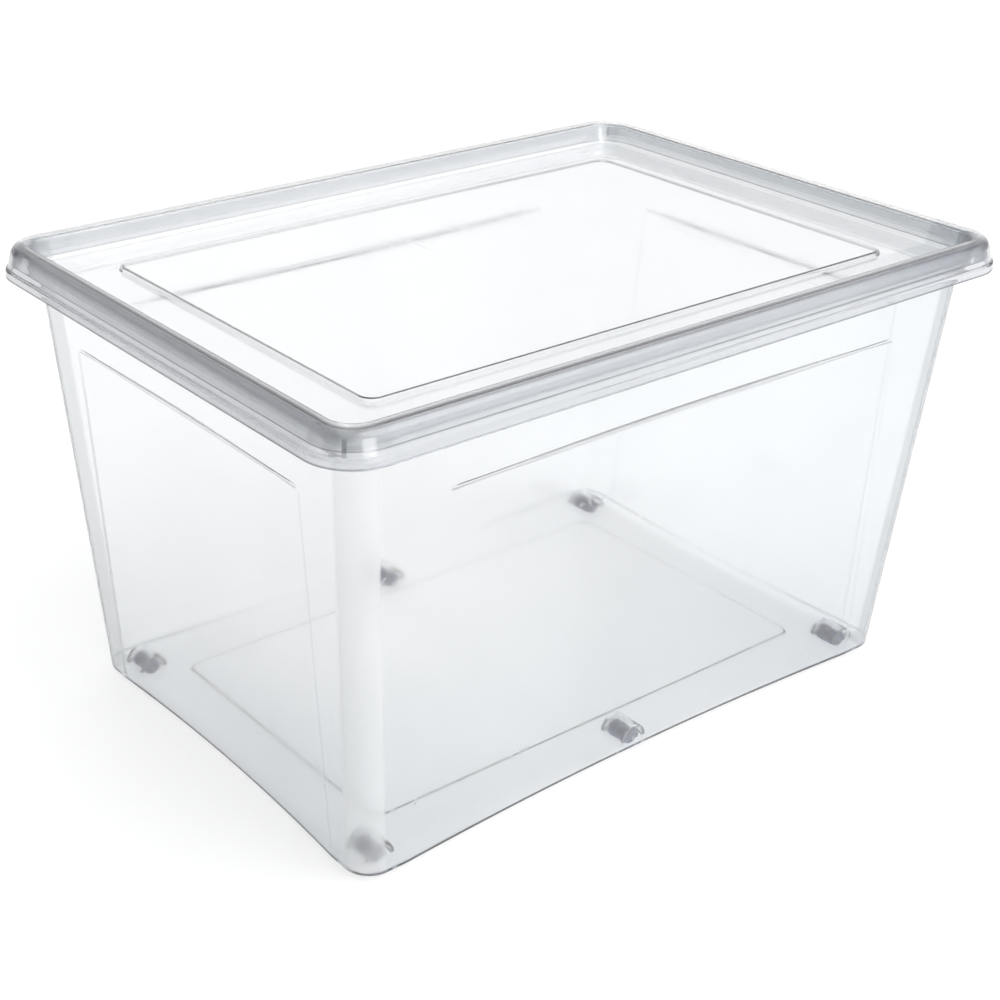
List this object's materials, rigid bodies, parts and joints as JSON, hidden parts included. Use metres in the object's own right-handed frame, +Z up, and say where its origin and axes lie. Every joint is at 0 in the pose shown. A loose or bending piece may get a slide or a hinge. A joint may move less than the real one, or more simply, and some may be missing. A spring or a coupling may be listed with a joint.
{
  "type": "stackable storage bin",
  "caption": "Clear plastic storage bin with tapered panelled walls, a rolled rim, small rollers set in wells in the floor and a lift-off lid whose rim locates the bin stacked on it.",
  "frame": {"origin": "on the ground under the middle of the bin, level with the lowest point of the rollers", "axes": "+X along the length, +Y along the width and away from the camera's side, +Z up"},
  "size_m": [0.57, 0.41, 0.3315],
  "materials": {
    "clear_body": "clear polypropylene, glossy with a faint haze and a cool grey cast",
    "clear_lid": "clear polypropylene, glossy, darker grey where the rim is folded",
    "roller_plastic": "dark blue-grey satin plastic",
    "axle_steel": "drawn steel wire"
  },
  "bodies": {
    "bin": {"bin_body": "clear_body", "axle_pin_front_left": "axle_steel", "axle_pin_front_middle": "axle_steel", "axle_pin_front_right": "axle_steel", "axle_pin_back_left": "axle_steel", "axle_pin_back_middle": "axle_steel", "axle_pin_back_right": "axle_steel"},
    "lid_cover": {"lid": "clear_lid"},
    "roller_fl": {"roller_front_left": "roller_plastic"},
    "roller_fm": {"roller_front_middle": "roller_plastic"},
    "roller_fr": {"roller_front_right": "roller_plastic"},
    "roller_bl": {"roller_back_left": "roller_plastic"},
    "roller_bm": {"roller_back_middle": "roller_plastic"},
    "roller_br": {"roller_back_right": "roller_plastic"}
  },
  "joints": [
    {"name": "lid_lift", "type": "slide", "parent": "bin", "child": "lid_cover", "axis": [0, 0, 1], "range_m": [0, 0.3]},
    {"name": "roller_spin_fl", "type": "hinge", "parent": "bin", "child": "roller_fl", "pos_m": [-0.22, -0.14, 0.0062], "axis": [0, 1, 0], "continuous": true},
    {"name": "roller_spin_fm", "type": "hinge", "parent": "bin", "child": "roller_fm", "pos_m": [0, -0.14, 0.0062], "axis": [0, 1, 0], "continuous": true},
    {"name": "roller_spin_fr", "type": "hinge", "parent": "bin", "child": "roller_fr", "pos_m": [0.22, -0.14, 0.0062], "axis": [0, 1, 0], "continuous": true},
    {"name": "roller_spin_bl", "type": "hinge", "parent": "bin", "child": "roller_bl", "pos_m": [-0.22, 0.14, 0.0062], "axis": [0, 1, 0], "continuous": true},
    {"name": "roller_spin_bm", "type": "hinge", "parent": "bin", "child": "roller_bm", "pos_m": [0, 0.14, 0.0062], "axis": [0, 1, 0], "continuous": true},
    {"name": "roller_spin_br", "type": "hinge", "parent": "bin", "child": "roller_br", "pos_m": [0.22, 0.14, 0.0062], "axis": [0, 1, 0], "continuous": true}
  ]
}
